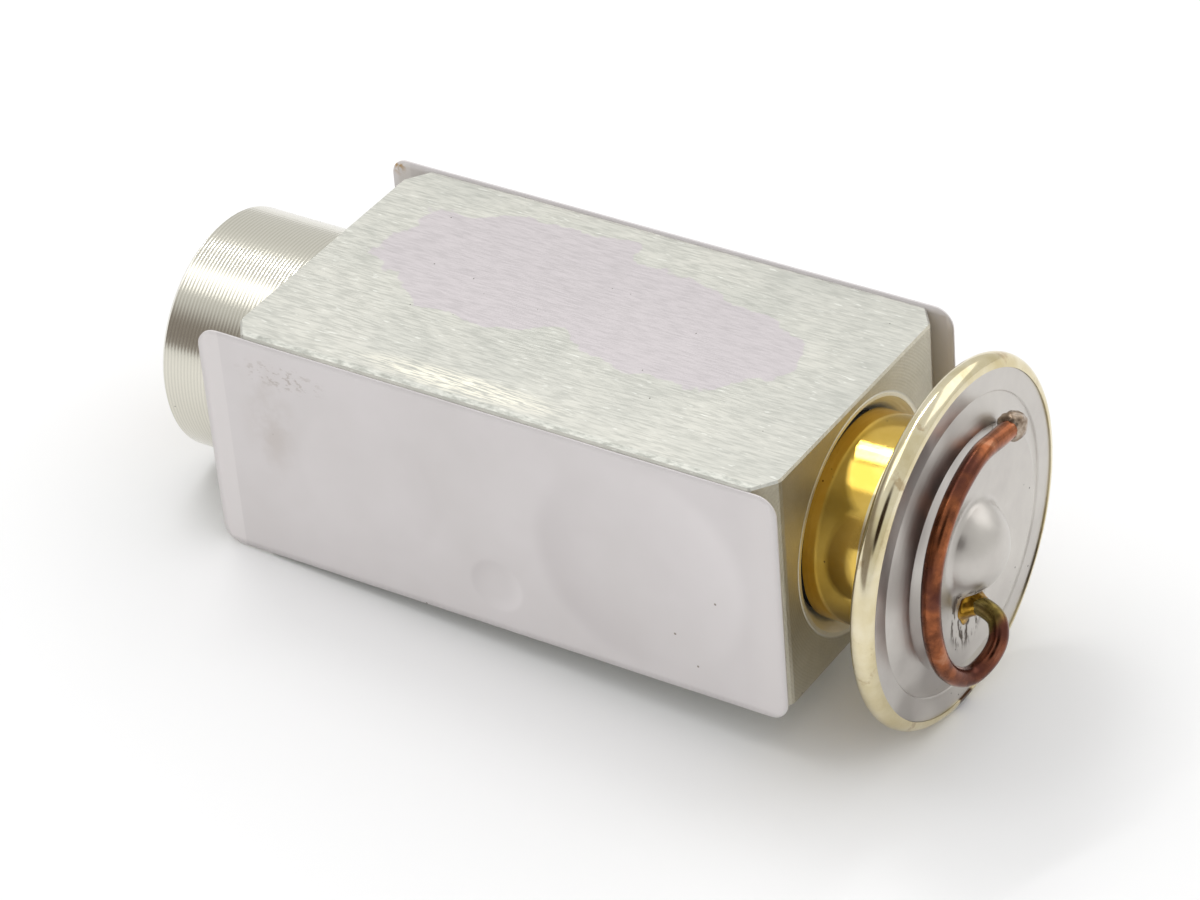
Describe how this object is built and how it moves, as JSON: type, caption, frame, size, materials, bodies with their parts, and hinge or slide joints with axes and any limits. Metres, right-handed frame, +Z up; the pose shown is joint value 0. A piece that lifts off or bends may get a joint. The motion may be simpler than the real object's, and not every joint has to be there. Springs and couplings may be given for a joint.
{
  "type": "block expansion valve",
  "caption": "Block-type refrigerant expansion valve: aluminium bar body, adjuster boss, brass collar and a round power head with a curled capillary; films over the ports.",
  "frame": {"origin": "where the valve axis crosses the plane of the two bolt holes", "axes": "+X along the valve axis towards the power head, +Y from the inlet face to the outlet face, +Z up, as it lies on its side"},
  "size_m": [0.0892, 0.0364, 0.0364],
  "materials": {
    "bar_aluminium": "drawn and turned, satin",
    "adjuster_brass": "turned",
    "seal_rubber": "moulded",
    "spring_steel": "drawn wire and sheet",
    "carrier_brass": "turned",
    "ball_steel": "ground and polished",
    "rod_steel": "ground",
    "rod_aluminium": "turned",
    "collar_brass": "turned and polished",
    "rim_brass": "pressed, rolled, pale bright dip",
    "diaphragm_steel": "rolled foil",
    "cover_steel": "pressed, satin",
    "tube_copper": "drawn copper, heat tinted",
    "solder": "cast drop",
    "braze_brass": "flowed",
    "port_film": "adhesive film"
  },
  "bodies": {
    "valve": {"valve_body": "bar_aluminium", "front_port_film": "port_film", "rear_port_film": "port_film", "rod_seal_ring": "seal_rubber", "rod_seal_retainer": "spring_steel", "head_collar": "collar_brass", "head_seal_ring": "seal_rubber", "head_lower_shell": "rim_brass", "diaphragm": "diaphragm_steel", "head_cover": "cover_steel", "charging_tube": "tube_copper", "tube_end_drop": "solder", "tube_braze": "braze_brass", "superheat_spring": "spring_steel"},
    "valve_train": {"ball_carrier": "carrier_brass", "carrier_damper": "spring_steel", "valve_ball": "ball_steel", "push_rod": "rod_steel", "sensing_rod": "rod_aluminium", "diaphragm_pad": "carrier_brass"},
    "adjuster_ring": {"adjuster_o_ring": "seal_rubber"},
    "adjuster": {"adjusting_screw": "adjuster_brass"}
  },
  "joints": [
    {"name": "valve_opening", "type": "slide", "parent": "valve", "child": "valve_train", "axis": [-1, 0, 0], "range_m": [0, 0.0007], "stiffness_N_per_m": 1500, "deforming": ["superheat_spring"]},
    {"name": "adjuster_travel", "type": "slide", "parent": "valve", "child": "adjuster_ring", "axis": [1, 0, 0], "range_m": [-0.0005, 0.0005]},
    {"name": "adjuster_turn", "type": "hinge", "parent": "adjuster_ring", "child": "adjuster", "pos_m": [-0.0388, 0, 0], "axis": [1, 0, 0], "range_deg": [-180, 180]}
  ],
  "couplings": [
    {"joint": "adjuster_travel", "follows": "adjuster_turn", "m_per_rad": 0.000159}
  ]
}
